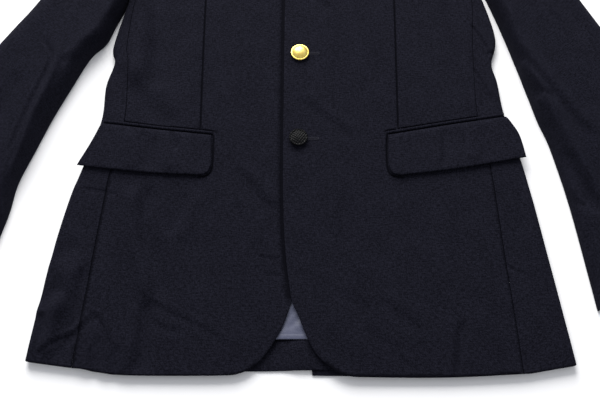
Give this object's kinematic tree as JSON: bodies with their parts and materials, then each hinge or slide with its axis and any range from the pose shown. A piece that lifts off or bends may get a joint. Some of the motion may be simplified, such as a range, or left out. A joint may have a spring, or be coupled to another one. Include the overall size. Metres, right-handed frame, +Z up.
{
  "type": "blazer",
  "caption": "Single-breasted navy wool blazer laid flat on its back: lapels, flap pockets, back vent, domed metal front buttons and a lined back.",
  "frame": {"origin": "centre of the bounding box's underside, on the surface the garment lies on", "axes": "+X across the garment from the wearer's right sleeve to the left one, +Y from hem to collar, +Z up, out of the front"},
  "size_m": [0.882, 0.7858, 0.0306],
  "materials": {
    "navy_wool": "matt wool with a fine mottled twill",
    "lining": "smooth satin lining, grey-blue",
    "gold_metal": "polished",
    "dark_button": "dark, patterned, satin"
  },
  "bodies": {
    "root": {"front_right": "navy_wool", "front_left": "navy_wool", "lapel_right": "navy_wool", "lapel_left": "navy_wool", "collar": "navy_wool", "side_panel_right": "navy_wool", "side_panel_left": "navy_wool", "back_right": "navy_wool", "back_left": "navy_wool", "top_sleeve_right": "navy_wool", "top_sleeve_left": "navy_wool", "under_sleeve_right": "navy_wool", "under_sleeve_left": "navy_wool", "flap_right": "navy_wool", "flap_left": "navy_wool", "welt_right": "navy_wool", "welt_left": "navy_wool", "back_lining": "lining", "button_top": "gold_metal", "button_middle": "gold_metal", "button_bottom": "dark_button"}
  },
  "joints": []
}
